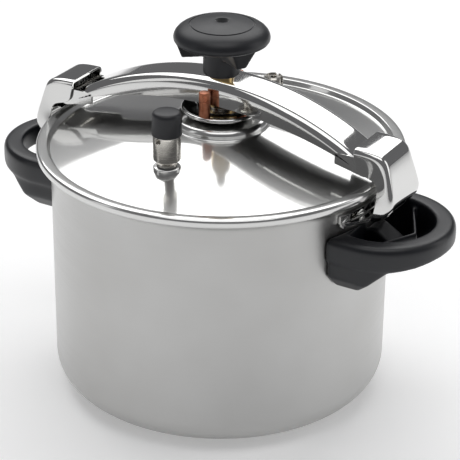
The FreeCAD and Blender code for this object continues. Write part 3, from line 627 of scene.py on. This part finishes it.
def merged_copy(node):
    """A CAD node's mesh with its loose triangles joined."""
    shape = bmesh.new()
    shape.from_mesh(nodes[node].data)
    bmesh.ops.remove_doubles(shape, verts=shape.verts, dist=MERGE / 2)
    mesh = bpy.data.meshes.new(node + "_copy")
    shape.to_mesh(mesh)
    shape.free()
    return mesh


GRIP_VOXEL, GRIP_ROUNDS = 0.75, 24
for side in ("right", "left"):
    grip = moulded("grip_" + side, merged_copy("handle_" + side), GRIP_VOXEL, GRIP_ROUNDS, GRIP,
                   "pot", "handle_" + side)
    print(grip.name, "faces:", len(grip.data.polygons))

# %% [markdown]
# ## The knob
# The top of the knob is a domed disc with one fine groove and a dimple for its screw. Below it
# the stem and three finger wings flow together, so they are made as one relaxed moulding.

# %% Knob
knob_low, knob_high = reach("knob")
KNOB_TOP, KNOB_FOOT, KNOB_RADIUS, STEM = knob_high.z, knob_low.z, 33.5, 13.0
DIMPLE, INSERT_BORE, KNOB_VOXEL, KNOB_ROUNDS = 4.5, 9.1, 0.6, 10
# A wing's corners by (high, outer): distance from the axis, half width and depth below the top.
WING_CORNERS = {
    (True, True): (KNOB_RADIUS - 1.2, 10.5, 11.0),
    (True, False): (STEM - 4, 10.5, 11.0),
    (False, True): (27.6, 3.4, 26.6),
    (False, False): (STEM - 4, 7.0, 24.2),
}
cap_outline = [(DIMPLE, KNOB_TOP - 10)] + arc(DIMPLE + 0.6, KNOB_TOP - 0.6, 0.6, 180, 90, 4)
cap_outline += [(10, KNOB_TOP - 0.5), (16, KNOB_TOP - 1.3), (21.6, KNOB_TOP - 2.5)]
cap_outline += [(21.9, KNOB_TOP - 3.2), (22.6, KNOB_TOP - 3.3), (22.9, KNOB_TOP - 2.8)]
cap_outline += [(26, KNOB_TOP - 3.7), (28.6, KNOB_TOP - 4.9), (30.8, KNOB_TOP - 6.5),
                (32.4, KNOB_TOP - 8.4), (33.2, KNOB_TOP - 10.2), (KNOB_RADIUS, KNOB_TOP - 11.8),
                (33.3, KNOB_TOP - 13.2), (32.6, KNOB_TOP - 14.3), (31.2, KNOB_TOP - 15.0)]
cap_outline += [(KNOB_RADIUS - 8, KNOB_TOP - 14.4), (DIMPLE, KNOB_TOP - 13)]
turned("knob_top", cap_outline, KNOB, "knob", "knob")

shape = bmesh.new()
spin_outline(shape, [(INSERT_BORE, KNOB_FOOT), (STEM, KNOB_FOOT), (STEM, KNOB_TOP - 16),
                     (STEM + 2.5, KNOB_TOP - 14), (KNOB_RADIUS - 3, KNOB_TOP - 13.6),
                     (KNOB_RADIUS - 4, KNOB_TOP - 9), (INSERT_BORE, KNOB_TOP - 9)], steps=96)
for angle in (90, 210, 330):
    wing = bmesh.ops.create_cube(shape, size=1)["verts"]
    for point in wing:
        along, half, depth = WING_CORNERS[point.co.z > 0, point.co.x > 0]
        point.co = Vector((along, math.copysign(half, point.co.y), KNOB_TOP - depth)) * MM
    bmesh.ops.rotate(shape, verts=wing, cent=(0, 0, 0),
                     matrix=Matrix.Rotation(math.radians(angle), 3, "Z"))
blank = bpy.data.meshes.new("knob_blank")
shape.to_mesh(blank)
shape.free()
wings = moulded("knob_wings", blank, KNOB_VOXEL, KNOB_ROUNDS, KNOB, "knob")
print("knob from", KNOB_FOOT, "to", KNOB_TOP, wings.name, "faces:", len(wings.data.polygons))

# %% [markdown]
# ## The regulating valve
# A short steel tube stands loosely on a nozzle, so it can be turned and pulled off. It has one
# vent hole, and a black cap that stays cool enough to touch.

# %% Valve tube and cap
tube_low, tube_high = reach("valve_body")
TUBE, NOZZLE_FIT, CHAMBER, CHAMBER_UP = tube_high.x, 3.9, 5.2, 16
VENT, VENT_DROP, VENT_TURN, DRILL_DEPTH = 2.3, 7.5, -8, 16
tube_outline = [(NOZZLE_FIT, tube_low.z), (TUBE - 3.4, tube_low.z)]
tube_outline += [(TUBE - 3, tube_low.z + 0.4), (TUBE - 3, tube_low.z + 2.0)]
tube_outline += arc(TUBE - 0.7, tube_low.z + 2.7, 0.7, -90, 0, 4)
tube_outline += [(TUBE, tube_high.z - 6.2), (TUBE - 0.35, tube_high.z - 5.9),
                 (TUBE - 0.35, tube_high.z - 5.2), (TUBE, tube_high.z - 5.0), (TUBE, tube_high.z),
                 (0, tube_high.z), (0, tube_high.z - 1), (CHAMBER, tube_high.z - 1),
                 (CHAMBER, tube_low.z + CHAMBER_UP), (NOZZLE_FIT, tube_low.z + CHAMBER_UP)]
tube = turned("valve_tube", tube_outline, TURNED, "regulator", "valve_body",
              centre=(0, VALVE_Y), steps=96)
drill = bmesh.new()
drill_place = (Matrix.Translation(Vector((0, VALVE_Y, 0)) * MM)
               @ Matrix.Rotation(math.radians(VENT_TURN), 4, "Z")
               @ Matrix.Translation(Vector((0, -9, tube_high.z - VENT_DROP)) * MM)
               @ Matrix.Rotation(math.pi / 2, 4, "X"))
bmesh.ops.create_cone(drill, cap_ends=True, segments=40, radius1=VENT * MM, radius2=VENT * MM,
                      depth=DRILL_DEPTH * MM, matrix=drill_place)
drill_mesh = bpy.data.meshes.new("drill")
drill.to_mesh(drill_mesh)
drill.free()
drill_tool = bpy.data.objects.new("drill", drill_mesh)
scene.collection.objects.link(drill_tool)
hole = tube.modifiers.new("vent", "BOOLEAN")
hole.object = drill_tool
hole.operation = "DIFFERENCE"
bpy.context.view_layer.objects.active = tube
with bpy.context.temp_override(object=tube, active_object=tube, selected_objects=[tube]):
    bpy.ops.object.modifier_apply(modifier="vent")
bpy.data.objects.remove(drill_tool)
tube.data.set_sharp_from_angle(angle=math.radians(SHARP))

cap_low, cap_high = reach("valve_cap")
cap_radius, cap_fit = cap_high.x, 0.02
valve_cap_outline = [(TUBE + cap_fit, cap_low.z)]
valve_cap_outline += arc(cap_radius - 0.5, cap_low.z + 0.5, 0.5, -90, 0, 4)
valve_cap_outline += arc(cap_radius - 3.2, cap_high.z - 3.2, 3.0, 0, 80, 8)
valve_cap_outline += [(3.0, cap_high.z - 0.1), (0, cap_high.z)]
valve_cap_outline += [(0, tube_high.z + cap_fit), (TUBE + cap_fit, tube_high.z + cap_fit)]
turned("valve_top", valve_cap_outline, KNOB, "regulator", "valve_cap",
       centre=(0, VALVE_Y), steps=96)
print("valve tube faces:", len(tube.data.polygons), "cap radius:", cap_radius)

# %% [markdown]
# ## Stage, light and camera
# Polished steel shows the room rather than itself. A big soft panel high behind the pot whitens
# the front of the cone, the darker room under it draws the long grey streaks, and two upright
# panels light the sides. The floor is plain and pale.

# %% Stage and lights
RIGHT, AWAY = Vector((0.866, 0.5, 0)), Vector((-0.5, 0.866, 0))


def around(right, away, up):
    """A point given from the camera's side: to its right, away from it, and up."""
    return RIGHT * right + AWAY * away + Vector((0, 0, up))


floor_shape = bmesh.new()
bmesh.ops.create_grid(floor_shape, x_segments=1, y_segments=1, size=6)
floor_mesh = bpy.data.meshes.new("floor")
floor_shape.to_mesh(floor_mesh)
floor_shape.free()
floor = bpy.data.objects.new("floor", floor_mesh)
scene.collection.objects.link(floor)
# A faint glow of its own keeps the floor pale out to its edges.
floor_finish = new_finish("pale_floor", (0.93, 0.93, 0.93), 0, 0.8)
floor_shader = floor_finish.node_tree.nodes["Principled BSDF"]
floor_shader.inputs["Specular IOR Level"].default_value = 0
floor_shader.inputs["Emission Color"].default_value = (1, 1, 1, 1)
floor_shader.inputs["Emission Strength"].default_value = 0.26
floor_mesh.materials.append(floor_finish)

room = bpy.data.worlds.new("room")
scene.world = room
room.use_nodes = True
room.node_tree.nodes["Background"].inputs["Color"].default_value = (0.16, 0.16, 0.165, 1)
room.node_tree.nodes["Background"].inputs["Strength"].default_value = 1.0


def panel(name, centre, width, height, radiance, target=(0, 0, 0.12)):
    """A soft light of even brightness; radiance 1 looks white."""
    light = bpy.data.lights.new(name, "AREA")
    light.shape = "RECTANGLE"
    light.size, light.size_y = width, height
    light.energy = radiance * math.pi * width * height
    lamp = bpy.data.objects.new(name, light)
    scene.collection.objects.link(lamp)
    lamp.location = centre
    lamp.rotation_euler = (Vector(target) - Vector(centre)).to_track_quat("-Z", "Y").to_euler()
    return lamp


panel("far_softbox", around(-0.1, 1.55, 2.10), 3.4, 2.1, 2.15)
panel("overhead", around(0, -0.6, 2.2), 1.8, 1.2, 1.5, target=around(0, -0.2, 0))
panel("right_side", around(1.6, 0.1, 0.7), 0.7, 1.2, 1.2)
panel("left_side", around(-1.6, -0.5, 0.8), 0.4, 1.1, 0.8)
# The front of the lid is lit clean white, so the black moulding and the valve stay out of it.
for name in ("knob_top", "knob_wings", "valve_tube", "valve_top"):
    bpy.data.objects[name].visible_glossy = False
scene.view_settings.view_transform = "Standard"

# %% [markdown]
# The camera stands a little to the right of the front and looks down on the lid through a long
# lens, so that upright lines stay nearly parallel.

# %% Camera
camera_data = bpy.data.cameras.new("camera")
camera_data.sensor_width = 36
camera_data.lens = 152.2
camera = bpy.data.objects.new("camera", camera_data)
scene.collection.objects.link(camera)
AIM = Vector((0.0059, 0.0034, 0.1138))
camera.location = (0.6316, -1.0803, 0.7414)
camera.rotation_mode = "QUATERNION"
camera.rotation_quaternion = ((AIM - camera.location).to_track_quat("-Z", "Y")
                              @ Quaternion((0, 0, 1), math.radians(0.56)))
scene.camera = camera
print("camera distance:", round((camera.location - AIM).length, 3))
